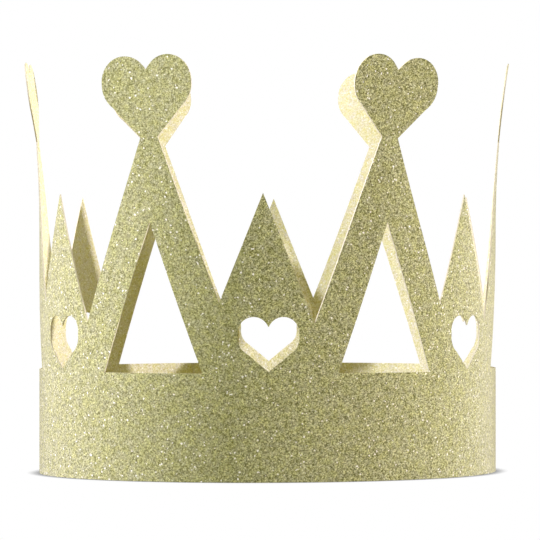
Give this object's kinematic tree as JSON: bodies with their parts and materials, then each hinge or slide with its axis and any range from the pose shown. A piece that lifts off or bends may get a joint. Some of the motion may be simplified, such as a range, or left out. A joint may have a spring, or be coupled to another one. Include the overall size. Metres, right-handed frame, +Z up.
{
  "type": "paper crown",
  "caption": "Open ring-shaped party crown of thin glitter card: small pointed spikes pierced by heart holes alternate with tall window-cut spikes that carry hearts.",
  "frame": {"origin": "centre of the ring on the plane of its lower rim", "axes": "+Z up through the ring towards the spikes, -Y towards the front of the crown, +X to the right seen from the front"},
  "size_m": [0.1824, 0.174, 0.154],
  "materials": {
    "glitter_card": "fine gold glitter on both faces"
  },
  "bodies": {
    "root": {"crown": "glitter_card"}
  },
  "joints": []
}
